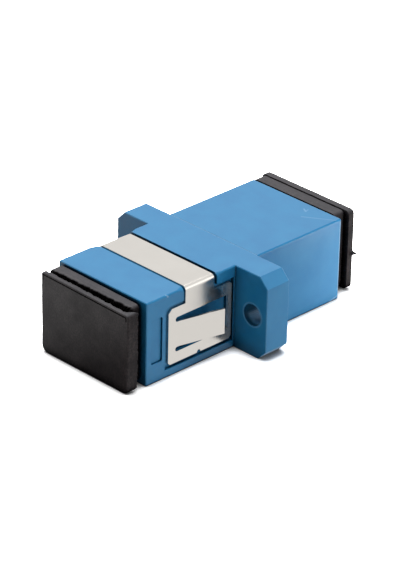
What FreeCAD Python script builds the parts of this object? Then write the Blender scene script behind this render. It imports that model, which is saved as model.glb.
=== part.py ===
import FreeCAD, Part
import math
import os

# SC fibre adapter, simplex, flanged, with a snap-in spring clip and two dust caps.
# Millimetres. The origin is on the plug axis where the two ferrules meet, in the middle of the
# flange. X runs across the ears, Y along the plug axis and Z up. The front port, with the
# spring clip behind it, faces -Y. The adapter rests on its lower broad side.

# ---- Driving dimensions -------------------------------------------------------------------

# Housing, as one outline shared by the front and rear halves
body_width = 12.9
body_height = 9.4
body_length = 28.0
edge_round = 0.2           # long outer edges
end_break = 0.08           # edge break round each end face
seam_break = 0.05          # edge break of the rear housing where it meets the flange

# Flange with its two ears
flange_span = 22.0
flange_thickness = 3.2
ear_chamfer = 1.1          # outer corners of the ears
ear_edge_break = 0.08
screw_to_ear_end = 2.0     # from a hole's centre to the end of its ear
screw_hole_diameter = 2.4

# Ports for the plugs
port_width = 9.05
port_height = 7.45
port_lead_in = 0.35        # bevel round the mouth
keyway_width = 2.4
keyway_length = 5.5

# Latch holders: a seat plate, half of the sleeve tube, and two hooked arms
holder_plate_thickness = 0.8
holder_side_lap = 0.75     # how far the plate reaches past the port's sides
holder_top_lap = 0.22      # how far it reaches past the port's top and bottom
holder_corner_round = 0.5
holder_clearance = 0.05    # between the plate and its cavity
tube_wall = 0.75
tube_lip_thickness = 0.75
tube_lip_bore = 2.9
arm_length = 6.8           # from the plate to the tip of the hook
arm_thickness = 0.8
arm_height = 3.0
arm_side_gap = 0.35        # between a relaxed arm and the port's side
arm_root_round = 0.4
hook_reach = 0.65
hook_length = 1.5
hook_ramp = 0.9
arm_flex_room = 0.5        # depth of the relief that the arm bends into
arm_relief_margin = 0.25

# Alignment sleeve, a split tube
sleeve_bore = 2.5
sleeve_outer = 3.2
sleeve_length = 11.4
sleeve_slit = 0.35
sleeve_end_break = 0.15
sleeve_play = 0.06         # radial, in the holders' tube
sleeve_end_play = 0.05

# Spring clip, folded from sheet, and its seat in the front housing
clip_thickness = 0.25
clip_bend_round = 0.5      # outside of the fold
strap_play = 0.35          # before and behind the strap, in its channel
cheek_front_play = 0.55    # round a cheek, in its pocket
cheek_rear_play = 0.2
cheek_top_play = 0.45
cheek_foot_play = 0.35
strap_width = 4.0
strap_centre = -6.53       # along Y
strap_sink = 0.05          # top of the strap below the top of the body
cheek_sink = 0.1           # clip's side plates below the sides of the body
cheek_length = 8.85
cheek_height = 6.28        # in front of the strap
cheek_rear_rise = 0.2      # how much higher it is behind the strap
cheek_rear = -2.0          # rear edge, along Y
cheek_foot = -3.48         # lower edge, along Z
cheek_corner_cut = 0.45    # upper front corner of each cheek
cheek_corner_round = 0.25  # its other corners
foot_notch_width = 0.5
foot_notch_depth = 0.28
window_front = -9.6        # root of the tongue, along Y
window_rear = -2.5
window_top = 1.65
window_foot = -2.27
upper_slit = 0.55
lower_slit = 0.52
tongue_reach = 5.45        # along Y, from root to free end
tongue_angle = 13.5        # degrees, outwards
tongue_bend_round = 1.5
tongue_well = 0.25         # deeper floor that the tongue can be pressed into
bend_relief = 0.1          # extra rounding of the body under the clip's folds
channel_corner_round = 0.6 # body corners that stand beside the strap
channel_corner_run = 0.8   # over which they come back to the plain edge

# Recessed marking panel, left bare
panel_front = -13.3
panel_length = 1.5
panel_height = 5.0
panel_depth = 0.18
panel_corner_round = 0.2

# Dust caps
cap_plate_width = 12.7
cap_plate_height = 9.0
cap_plate_thickness = 0.65
cap_plate_round = 0.9
cap_edge_round = 0.15
cap_groove_depth = 0.45
cap_groove_width = 0.3
cap_band_width = 12.0
cap_band_height = 8.9
cap_band_thickness = 1.65
cap_band_round = 0.6
cap_skirt_length = 5.0
cap_skirt_wall = 0.9
cap_skirt_clearance = 0.12
cap_skirt_round = 0.5

# ---- Sizes that follow from them ----------------------------------------------------------

body_side = body_width / 2
body_top = body_height / 2
body_end = body_length / 2
flange_face = flange_thickness / 2
screw_pitch = flange_span - 2 * screw_to_ear_end
port_side = port_width / 2
port_top = port_height / 2

holder_width = port_width + 2 * holder_side_lap
holder_height = port_height + 2 * holder_top_lap
cavity_width = holder_width + 2 * holder_clearance
cavity_height = holder_height + 2 * holder_clearance
cavity_round = holder_corner_round + holder_clearance
arm_outside = port_side - arm_side_gap
arm_inside = arm_outside - arm_thickness
arm_tip = holder_plate_thickness + arm_length
tube_bore = sleeve_outer + 2 * sleeve_play
tube_outer = tube_bore + 2 * tube_wall
tube_seat = sleeve_length / 2 + sleeve_end_play
tube_end = tube_seat + tube_lip_thickness

clip_top = body_top - strap_sink
clip_side = body_side - cheek_sink
channel_floor = clip_top - clip_thickness
pocket_floor = clip_side - clip_thickness
cheek_front = cheek_rear - cheek_length
cheek_top = cheek_foot + cheek_height
cheek_rear_top = cheek_top + cheek_rear_rise
strap_front = strap_centre - strap_width / 2
strap_rear = strap_centre + strap_width / 2
channel_front = strap_front - strap_play
channel_rear = strap_rear + strap_play
pocket_front = cheek_front - cheek_front_play
pocket_rear = cheek_rear + cheek_rear_play
pocket_foot = cheek_foot - cheek_foot_play
pocket_top = cheek_top + cheek_top_play
pocket_rear_top = cheek_rear_top + cheek_top_play

overcut = 1.0              # how far a cutting tool runs past the face it opens


# ---- Shapes that several pieces share -----------------------------------------------------

def vector(x, y, z):
    return FreeCAD.Vector(x, y, z)


def block(x_range, y_range, z_range):
    """Plain box between three pairs of coordinates."""
    size = [high - low for low, high in (x_range, y_range, z_range)]
    return Part.makeBox(size[0], size[1], size[2], vector(x_range[0], y_range[0], z_range[0]))


def rounded_outline(y, width, height, top_round, foot_round=None):
    """Closed outline across the plug axis at y, with a radius for the upper and lower corners."""
    if foot_round is None:
        foot_round = top_round
    corners = ((1, 1, top_round, 0), (-1, 1, top_round, 90), (-1, -1, foot_round, 180), (1, -1, foot_round, 270))
    arcs = []
    for side_x, side_z, radius, start in corners:
        centre_x = side_x * (width / 2 - radius)
        centre_z = side_z * (height / 2 - radius)
        points = []
        for turn in (0, 45, 90):
            angle = math.radians(start + turn)
            points.append(vector(centre_x + radius * math.cos(angle), y, centre_z + radius * math.sin(angle)))
        arcs.append(points)
    edges = []
    for index, points in enumerate(arcs):
        following = arcs[(index + 1) % len(arcs)]
        edges.append(Part.Arc(points[0], points[1], points[2]).toShape())
        edges.append(Part.LineSegment(points[2], following[0]).toShape())
    return Part.Wire(edges)


def rounded_block(width, height, corner_round, y_from, y_to):
    """Bar along the plug axis with rounded long edges."""
    face = Part.Face(rounded_outline(y_from, width, height, corner_round))
    return face.extrude(vector(0, y_to - y_from, 0))


def polygon_prism(points, direction):
    """Prism from a closed outline of points, extruded along a vector."""
    return Part.Face(Part.makePolygon(points + points[:1])).extrude(direction)


def edges_in_plane(shape, y):
    """Edges of a shape that lie flat in the plane at y."""
    tolerance = 1e-6
    chosen = []
    for edge in shape.Edges:
        box = edge.BoundBox
        if abs(box.YMin - y) < tolerance and abs(box.YMax - y) < tolerance:
            chosen.append(edge)
    return chosen


def both_sides(shape):
    """The shape and its mirror image across the middle, for what is alike left and right."""
    return shape.fuse(shape.mirror(vector(0, 0, 0), vector(1, 0, 0)))


def turned_to_rear(shape):
    """Mirror image across the flange's middle, for what is alike front and rear."""
    return shape.mirror(vector(0, 0, 0), vector(0, 1, 0))


# ---- Housing ------------------------------------------------------------------------------

def port_cutter():
    """Front port: plug bore, bevelled mouth and the keyway through the lower wall."""
    seat = -holder_plate_thickness
    bore = block((-port_side, port_side), (-body_end - overcut, seat + overcut), (-port_top, port_top))
    mouth = Part.makeLoft([
        rounded_outline(-body_end - overcut, port_width + 2 * (port_lead_in + overcut),
                        port_height + 2 * (port_lead_in + overcut), port_lead_in),
        rounded_outline(-body_end + port_lead_in, port_width, port_height, port_lead_in),
    ], True, True)
    keyway = block((-keyway_width / 2, keyway_width / 2), (-body_end - overcut, -body_end + keyway_length),
                   (-body_top - overcut, 0))
    return bore.fuse([mouth, keyway])


def arm_relief_cutter():
    """Grooves in the port's sides that the latch arms bend into."""
    half_height = arm_height / 2 + arm_relief_margin
    groove = block((0, port_side + arm_flex_room), (-arm_tip - arm_relief_margin, 0), (-half_height, half_height))
    return both_sides(groove)


def screw_hole_cutter():
    """The two panel screw holes through the ears."""
    start = vector(screw_pitch / 2, -flange_face - overcut, 0)
    hole = Part.makeCylinder(screw_hole_diameter / 2, flange_thickness + 2 * overcut, start, vector(0, 1, 0))
    return both_sides(hole)


def flange():
    """Flange with its two ears, flush with the body above and below."""
    half_span = flange_span / 2
    inner = body_side - 2 * edge_round
    outline = [(inner, -body_top), (half_span - ear_chamfer, -body_top), (half_span, -body_top + ear_chamfer),
               (half_span, body_top - ear_chamfer), (half_span - ear_chamfer, body_top), (inner, body_top)]
    points = [vector(x, -flange_face, z) for x, z in outline]
    ear = polygon_prism(points, vector(0, flange_thickness, 0))
    rims = edges_in_plane(ear, -flange_face) + edges_in_plane(ear, flange_face)
    outer_rims = [edge for edge in rims if edge.BoundBox.XMax > body_side]
    ear = ear.makeChamfer(ear_edge_break, outer_rims)
    middle = block((-body_side + edge_round, body_side - edge_round), (-flange_face, flange_face),
                   (-body_top, body_top))
    return middle.fuse(both_sides(ear)).removeSplitter()


def front_body():
    """Front bar, whose upper edges swell to a larger radius beside the strap."""
    stations = ((-body_end, edge_round), (channel_front - channel_corner_run, edge_round),
                (channel_front, channel_corner_round), (channel_rear, channel_corner_round),
                (channel_rear + channel_corner_run, edge_round), (flange_face, edge_round))
    outlines = [rounded_outline(y, body_width, body_height, radius, edge_round) for y, radius in stations]
    bar = Part.makeLoft(outlines, True, True)
    return bar.makeChamfer(end_break, edges_in_plane(bar, -body_end))


def clip_seat_cutter():
    """Channel over the top and a pocket in each side, which the spring clip lies in."""
    channel = block((-flange_span, flange_span), (channel_front, channel_rear), (cheek_top, body_height))
    core_round = clip_bend_round - clip_thickness + bend_relief
    core = rounded_block(2 * pocket_floor, 2 * channel_floor, core_round, channel_front - overcut,
                         channel_rear + overcut)
    pocket = block((pocket_floor, flange_span), (pocket_front, pocket_rear), (pocket_foot, pocket_top))
    rear_pocket = block((pocket_floor, flange_span), (strap_rear, pocket_rear), (pocket_foot, pocket_rear_top))
    well = block((pocket_floor - tongue_well, flange_span), (window_front, window_rear), (window_foot, window_top))
    return channel.cut(core).fuse(both_sides(pocket.fuse([rear_pocket, well])))


def marking_panel_cutter():
    """Shallow recessed panel on the right-hand side, between the clip and the mouth."""
    panel = rounded_block(panel_length, panel_height, panel_corner_round, 0, overcut + panel_depth)
    panel.rotate(vector(0, 0, 0), vector(0, 0, 1), -90)
    panel.translate(vector(body_side - panel_depth, panel_front + panel_length / 2, 0))
    return panel


def front_housing():
    """Front half: port, clip seat, the whole flange and the cavity for the latch holders."""
    cavity = rounded_block(cavity_width, cavity_height, cavity_round, -holder_plate_thickness,
                           flange_face + overcut)
    solid = front_body().fuse(flange()).removeSplitter()
    cutters = [port_cutter(), arm_relief_cutter(), cavity, clip_seat_cutter(), screw_hole_cutter(),
               marking_panel_cutter()]
    return solid.cut(cutters).removeSplitter()


def rear_housing():
    """Rear half: plain bar with the second port, and two cheeks that hold the latch holders in."""
    bar = rounded_block(body_width, body_height, edge_round, flange_face, body_end)
    bar = bar.makeChamfer(end_break, edges_in_plane(bar, body_end))
    bar = bar.makeChamfer(seam_break, edges_in_plane(bar, flange_face))
    spigot = rounded_block(holder_width, holder_height, holder_corner_round, holder_plate_thickness,
                           flange_face + overcut)
    open_middle = block((-port_side, port_side), (0, flange_face + overcut), (-body_top, body_top))
    cheeks = spigot.cut(open_middle)
    cutters = [turned_to_rear(port_cutter()), turned_to_rear(arm_relief_cutter())]
    return bar.fuse(cheeks).cut(cutters).removeSplitter()


# ---- Inside the housing -------------------------------------------------------------------

def latch_arm():
    """One latch arm on the right-hand side, with its inward hook and thickened root."""
    root = -holder_plate_thickness
    catch = -arm_tip + hook_length
    outline = [(arm_outside + arm_root_round / 2, root), (arm_outside, root - arm_root_round), (arm_outside, -arm_tip),
               (arm_inside, -arm_tip), (arm_inside - hook_reach, -arm_tip + hook_ramp),
               (arm_inside - hook_reach, catch), (arm_inside, catch), (arm_inside, root - arm_root_round),
               (arm_inside - arm_root_round, root)]
    points = [vector(x, y, -arm_height / 2) for x, y in outline]
    return polygon_prism(points, vector(0, 0, arm_height))


def front_latch_holder():
    """Seat plate with half of the sleeve tube and the two latch arms."""
    plate = rounded_block(holder_width, holder_height, holder_corner_round, -holder_plate_thickness, 0)
    forwards = vector(0, -1, 0)
    tube = Part.makeCylinder(tube_outer / 2, tube_end, vector(0, 0, 0), forwards)
    tube = tube.makeChamfer(tube_lip_thickness / 3, edges_in_plane(tube, -tube_end))
    bore = Part.makeCylinder(tube_bore / 2, tube_seat + overcut, vector(0, overcut, 0), forwards)
    lip = Part.makeCylinder(tube_lip_bore / 2, tube_end + overcut, vector(0, 0, 0), forwards)
    solid = plate.fuse([tube, both_sides(latch_arm())])
    return solid.cut([bore, lip]).removeSplitter()


def alignment_sleeve():
    """Split tube that grips both ferrules, with its slit at the top."""
    start = vector(0, -sleeve_length / 2, 0)
    along = vector(0, 1, 0)
    tube = Part.makeCylinder(sleeve_outer / 2, sleeve_length, start, along)
    ends = edges_in_plane(tube, -sleeve_length / 2) + edges_in_plane(tube, sleeve_length / 2)
    tube = tube.makeChamfer(sleeve_end_break, ends)
    bore = Part.makeCylinder(sleeve_bore / 2, sleeve_length, start, along)
    slit = block((-sleeve_slit / 2, sleeve_slit / 2), (-sleeve_length, sleeve_length), (0, sleeve_outer))
    return tube.cut([bore, slit])


# ---- Spring clip --------------------------------------------------------------------------

def clip_section():
    """The folded strip seen along the plug axis: over the top and down both sides."""
    length = cheek_length
    outer = rounded_block(2 * clip_side, 2 * clip_top, clip_bend_round, cheek_front, cheek_front + length)
    inner = rounded_block(2 * pocket_floor, 2 * channel_floor, clip_bend_round - clip_thickness,
                          cheek_front, cheek_front + length)
    below = block((-body_width, body_width), (cheek_front, cheek_rear), (-body_height, cheek_foot))
    return outer.cut([inner, below])


def clip_side_view():
    """Outline of the clip seen from its side: the strap rising from the wide cheek."""
    nip = cheek_corner_round
    outline = [(cheek_front, cheek_foot + nip), (cheek_front + nip, cheek_foot), (cheek_rear - nip, cheek_foot),
               (cheek_rear, cheek_foot + nip), (cheek_rear, cheek_rear_top - nip), (cheek_rear - nip, cheek_rear_top),
               (strap_rear, cheek_rear_top), (strap_rear, body_height), (strap_front, body_height),
               (strap_front, cheek_top), (cheek_front + cheek_corner_cut, cheek_top),
               (cheek_front, cheek_top - cheek_corner_cut)]
    points = [vector(-body_width, y, z) for y, z in outline]
    return polygon_prism(points, vector(2 * body_width, 0, 0))


def slit_cutter(z_low, z_high):
    """Slit beside the tongue, with a round end past the tongue's root."""
    radius = (z_high - z_low) / 2
    across = 2 * body_width
    slit = block((-body_width, body_width), (window_front, window_rear), (z_low, z_high))
    end = Part.makeCylinder(radius, across, vector(-body_width, window_front, z_low + radius), vector(1, 0, 0))
    return slit.fuse(end)


def window_cutter():
    """Window round the tongue: two slits joined at the free end, and the notch in the foot."""
    upper = slit_cutter(window_top - upper_slit, window_top)
    lower = slit_cutter(window_foot, window_foot + lower_slit)
    middle = block((-body_width, body_width), (window_front, window_rear), (window_foot + lower_slit / 2,
                   window_top - upper_slit / 2))
    notch = Part.makeCylinder(foot_notch_width / 2, 2 * body_width,
                              vector(-body_width, strap_centre, cheek_foot - foot_notch_width / 2
                                     + foot_notch_depth), vector(1, 0, 0))
    return upper.fuse([lower, middle, notch])


def tongue():
    """Spring tongue on the right-hand side, bent outwards from its root."""
    angle = math.radians(tongue_angle)
    centre_x = clip_side + tongue_bend_round
    inner_round = tongue_bend_round + clip_thickness
    straight = (tongue_reach - tongue_bend_round * math.sin(angle)) / math.cos(angle)
    foot = window_foot + lower_slit

    def on_bend(radius, turn):
        return vector(centre_x - radius * math.cos(turn), window_front + radius * math.sin(turn), foot)

    run = vector(math.sin(angle), math.cos(angle), 0) * straight
    outer = [on_bend(tongue_bend_round, turn) for turn in (0, angle / 2, angle)]
    inner = [on_bend(inner_round, turn) for turn in (angle, angle / 2, 0)]
    edges = [Part.Arc(outer[0], outer[1], outer[2]).toShape(),
             Part.LineSegment(outer[2], outer[2] + run).toShape(),
             Part.LineSegment(outer[2] + run, inner[0] + run).toShape(),
             Part.LineSegment(inner[0] + run, inner[0]).toShape(),
             Part.Arc(inner[0], inner[1], inner[2]).toShape(),
             Part.LineSegment(inner[2], outer[0]).toShape()]
    height = window_top - upper_slit - foot
    return Part.Face(Part.Wire(edges)).extrude(vector(0, 0, height))


def spring_clip():
    """One-piece clip: strap, two cheeks, and a tongue cut from each cheek."""
    sheet = clip_section().common(clip_side_view())
    sheet = sheet.cut(window_cutter())
    return sheet.fuse(both_sides(tongue())).removeSplitter()


# ---- Dust caps ----------------------------------------------------------------------------

def front_dust_cap():
    """Rubber cap: outer plate, groove, band against the end face, and a hollow skirt in the port."""
    band_face = -body_end - cap_band_thickness
    plate_back = band_face - cap_groove_width
    plate_face = plate_back - cap_plate_thickness
    plate = rounded_block(cap_plate_width, cap_plate_height, cap_plate_round, plate_face, plate_back)
    plate = plate.makeFillet(cap_edge_round, edges_in_plane(plate, plate_face))
    neck = rounded_block(cap_band_width - 2 * cap_groove_depth, cap_band_height - 2 * cap_groove_depth,
                         cap_band_round, plate_back, band_face)
    band = rounded_block(cap_band_width, cap_band_height, cap_band_round, band_face, -body_end)
    skirt_width = port_width - 2 * cap_skirt_clearance
    skirt_height = port_height - 2 * cap_skirt_clearance
    skirt_end = -body_end + cap_skirt_length
    skirt = rounded_block(skirt_width, skirt_height, cap_skirt_round, -body_end, skirt_end)
    skirt = skirt.makeChamfer(cap_skirt_wall / 3, edges_in_plane(skirt, skirt_end))
    hollow = rounded_block(skirt_width - 2 * cap_skirt_wall, skirt_height - 2 * cap_skirt_wall,
                           cap_skirt_round / 2, -body_end, skirt_end + overcut)
    return plate.fuse([neck, band, skirt]).cut(hollow).removeSplitter()


# ---- Write every piece to its own file ----------------------------------------------------

def pieces():
    """Every separate piece of the adapter by name."""
    holder = front_latch_holder()
    cap = front_dust_cap()
    return {
        "front_housing": front_housing(),
        "rear_housing": rear_housing(),
        "front_latch_holder": holder,
        "rear_latch_holder": turned_to_rear(holder),
        "alignment_sleeve": alignment_sleeve(),
        "spring_clip": spring_clip(),
        "front_dust_cap": cap,
        "rear_dust_cap": turned_to_rear(cap),
    }


def single_solid(shape):
    """The one solid that a piece consists of, without a compound round it."""
    return shape.Solids[0] if len(shape.Solids) == 1 else shape


os.makedirs("parts", exist_ok=True)
for name, shape in pieces().items():
    solid = single_solid(shape)
    solid.exportStep("parts/" + name + ".step")
    print(name, "solids", len(solid.Solids), "valid", solid.isValid(), "volume", round(solid.Volume, 3))
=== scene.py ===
"""Looks of a simplex SC fibre adapter: blue moulded housing, folded spring clip and two dust caps.

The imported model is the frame. X runs across the ears, Y along the plug axis from the clip end
to the rear port, and Z up. Blender's unit is the metre, and sizes below are in millimetres.
"""

from __future__ import annotations

import logging
import math
from dataclasses import dataclass
from enum import Enum
from typing import Any, Optional

import bpy
import numpy as np
from mathutils import Matrix, Vector


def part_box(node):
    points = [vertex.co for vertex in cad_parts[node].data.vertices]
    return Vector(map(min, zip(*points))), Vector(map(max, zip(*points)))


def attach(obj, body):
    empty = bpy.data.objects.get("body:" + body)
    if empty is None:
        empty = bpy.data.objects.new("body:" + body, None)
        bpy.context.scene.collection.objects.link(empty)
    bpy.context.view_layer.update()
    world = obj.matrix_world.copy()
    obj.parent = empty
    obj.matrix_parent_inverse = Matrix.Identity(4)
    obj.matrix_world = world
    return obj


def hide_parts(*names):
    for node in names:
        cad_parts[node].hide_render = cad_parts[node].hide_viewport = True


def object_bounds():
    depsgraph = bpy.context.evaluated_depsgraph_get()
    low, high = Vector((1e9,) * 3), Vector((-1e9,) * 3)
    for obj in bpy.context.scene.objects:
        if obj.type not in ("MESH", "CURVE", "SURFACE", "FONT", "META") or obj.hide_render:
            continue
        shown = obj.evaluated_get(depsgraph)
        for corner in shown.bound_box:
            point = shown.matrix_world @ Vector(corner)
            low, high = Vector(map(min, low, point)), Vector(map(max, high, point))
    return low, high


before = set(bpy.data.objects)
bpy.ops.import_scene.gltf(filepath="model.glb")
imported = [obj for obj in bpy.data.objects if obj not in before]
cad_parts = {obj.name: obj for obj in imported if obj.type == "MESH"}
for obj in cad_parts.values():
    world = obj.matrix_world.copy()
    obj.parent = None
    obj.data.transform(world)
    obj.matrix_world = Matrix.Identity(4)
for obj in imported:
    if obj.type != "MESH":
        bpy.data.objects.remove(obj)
CAD_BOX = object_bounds()

Tree = bpy.types.NodeTree
Socket = bpy.types.NodeSocket
Triple = tuple[float, float, float]
Span = tuple[float, float]

MM = 0.001
RIGHT, FRONT, REAR, UP = (1.0, 0.0, 0.0), (0.0, -1.0, 0.0), (0.0, 1.0, 0.0), (0.0, 0.0, 1.0)
SMOOTH = {"interpolation_type": "SMOOTHSTEP"}
SHARP_DEGREES = 40.0
FINE, SPECKLED = 2.0, 3.0  # details of a noise
NOISE_SPREAD = (0.3, 0.7)  # nearly all values of a noise lie between these
SQUARE_ON = (0.5, 0.9)     # cosines between which a face comes to count as square to an axis
log = logging.getLogger("sc_adapter")


# ---- Colour, nodes and meshes --------------------------------------------------------------


def linear(hex_colour: str) -> tuple[float, float, float, float]:
    """Turns an sRGB hex colour into linear RGBA.

    Args:
        hex_colour: Six hex digits, with or without a leading hash.

    Returns:
        Linear red, green, blue and an alpha of 1.
    """
    digits = hex_colour.lstrip("#")
    channels = [int(digits[index:index + 2], 16) / 255 for index in (0, 2, 4)]
    red, green, blue = (c / 12.92 if c <= 0.04045 else ((c + 0.055) / 1.055) ** 2.4 for c in channels)
    return red, green, blue, 1.0


BLACK, WHITE = linear("000000"), linear("FFFFFF")


def add_node(
    tree: Tree, kind: str, *values: Any, inputs: Optional[dict[str, Any]] = None, output: str = "", **settings: Any
) -> Optional[Socket]:
    """Adds one shader node, sets it up, and sets or links its inputs.

    Args:
        tree: Node tree that gets the node.
        kind: Blender's name of the node type, without the leading ShaderNode.
        values: Values of the inputs in use, in their order. A socket is linked, None leaves one be.
        inputs: More values, by the input's name.
        output: Name of the wanted output, if it isn't the first in use.
        settings: Attributes of the node.

    Returns:
        Socket of the output, or None for a node that has none.
    """
    node = tree.nodes.new("ShaderNode" + kind)
    for name, setting in settings.items():
        setattr(node, name, setting)
    pairs = list(zip([socket for socket in node.inputs if socket.enabled], values))
    pairs += [(node.inputs[name], value) for name, value in (inputs or {}).items()]
    for socket, value in pairs:
        if isinstance(value, Socket):
            tree.links.new(value, socket)
        elif value is not None:
            socket.default_value = value
    return node.outputs[output] if output else next((socket for socket in node.outputs if socket.enabled), None)


def facing(tree: Tree, way: Triple) -> Socket:
    """Adds the nodes for the cosine between the surface's own normal and a way."""
    normal = add_node(tree, "NewGeometry", output="True Normal")
    return add_node(tree, "VectorMath", normal, way, operation="DOT_PRODUCT")


def lying(tree: Tree, way: Triple) -> Socket:
    """Adds the nodes for how many metres a place lies along a way."""
    place = add_node(tree, "TexCoord", output="Object")
    return add_node(tree, "VectorMath", place, way, operation="DOT_PRODUCT")


def new_material(name: str) -> tuple[bpy.types.Material, Tree]:
    """Starts a material with an empty node tree.

    Args:
        name: The material's name.

    Returns:
        The material and its node tree.
    """
    material = bpy.data.materials.new(name)
    material.use_nodes = True
    material.node_tree.nodes.clear()
    return material, material.node_tree


def per_metre(size_mm: float) -> float:
    """Scale of a pattern whose features are size_mm apart, on coordinates in metres."""
    return 1.0 / (size_mm * MM)


def metres(span_mm: Span) -> Span:
    """Ends of a span of millimetres, in metres."""
    return span_mm[0] * MM, span_mm[1] * MM


def grid_mesh(name: str, rings: np.ndarray, flip: bool = False) -> bpy.types.Mesh:
    """Turns a stack of closed rings into one closed surface.

    Neighbouring rings are joined by four-sided faces, and each end is closed by a fan round the
    middle of its ring.

    Args:
        name: Name of the mesh.
        rings: Vertices as rings by points by three, in millimetres.
        flip: Turns the faces round, for rings that run the other way.

    Returns:
        The mesh, in metres.
    """
    ring_count, size = rings.shape[:2]
    ends = np.stack([rings[0].mean(axis=0), rings[-1].mean(axis=0)])
    points = np.concatenate([rings.reshape(-1, 3), ends]) * MM
    here = np.arange(size)
    after = (here + 1) % size
    row = (np.arange(ring_count - 1) * size)[:, None]
    quads = np.stack([row + here, row + after, row + size + after, row + size + here], axis=-1).reshape(-1, 4)
    first, last = ring_count * size, ring_count * size + 1
    top = (ring_count - 1) * size
    fans = np.concatenate([np.stack([np.full(size, first), after, here], axis=-1),
                           np.stack([np.full(size, last), top + here, top + after], axis=-1)])
    if flip:
        quads, fans = quads[:, ::-1], fans[:, ::-1]
    mesh = bpy.data.meshes.new(name)
    mesh.from_pydata(points.tolist(), [], quads.tolist() + fans.tolist())
    mesh.polygons.foreach_set("use_smooth", np.ones(len(mesh.polygons), dtype=bool))
    mesh.set_sharp_from_angle(angle=math.radians(SHARP_DEGREES))
    return mesh


def add_object(name: str, data: bpy.types.ID) -> bpy.types.Object:
    """Adds an object to the scene.

    Args:
        name: The object's name.
        data: Its mesh, lamp or camera.

    Returns:
        The object.
    """
    thing = bpy.data.objects.new(name, data)
    bpy.context.scene.collection.objects.link(thing)
    return thing


def ramp(values: np.ndarray, start: float, stop: float) -> np.ndarray:
    """Values as shares of the way from start to stop, held between 0 and 1."""
    return np.clip((values - start) / (stop - start), 0.0, 1.0)


# ---- Finishes ------------------------------------------------------------------------------


@dataclass(frozen=True)
class Stroke:
    """Straight light mark on a surface, such as a nick or a scratch, in millimetres."""

    # Strokes also draw painted highlights, as light lines along edges.
    start: Triple
    end: Triple
    width: float
    strength: float
    core_share: float = 0.3

    def mask(self, tree: Tree, place: Socket) -> Socket:
        """Adds the nodes that are bright near the mark.

        The nearest point of the mark is the place's share along it, held between 0 and 1. The mask
        falls off with the distance from there.

        Args:
            tree: Node tree that gets the nodes.
            place: Socket of the object coordinates.

        Returns:
            Socket of the mark's strength, 0 away from it.
        """
        start, run = Vector(self.start) * MM, (Vector(self.end) - Vector(self.start)) * MM
        offset = add_node(tree, "VectorMath", place, start, operation="SUBTRACT")
        share = add_node(tree, "VectorMath", offset, run / run.length_squared, operation="DOT_PRODUCT")
        share = add_node(tree, "MapRange", share, 0.0, 1.0, 0.0, 1.0)
        nearest = add_node(tree, "VectorMath", run, share, operation="SCALE")
        gap = add_node(tree, "VectorMath", offset, nearest, operation="SUBTRACT")
        distance = add_node(tree, "VectorMath", gap, operation="LENGTH")
        return add_node(tree, "MapRange", distance, *metres((self.core_share * self.width, self.width)),
                        self.strength, 0.0, **SMOOTH)


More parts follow.
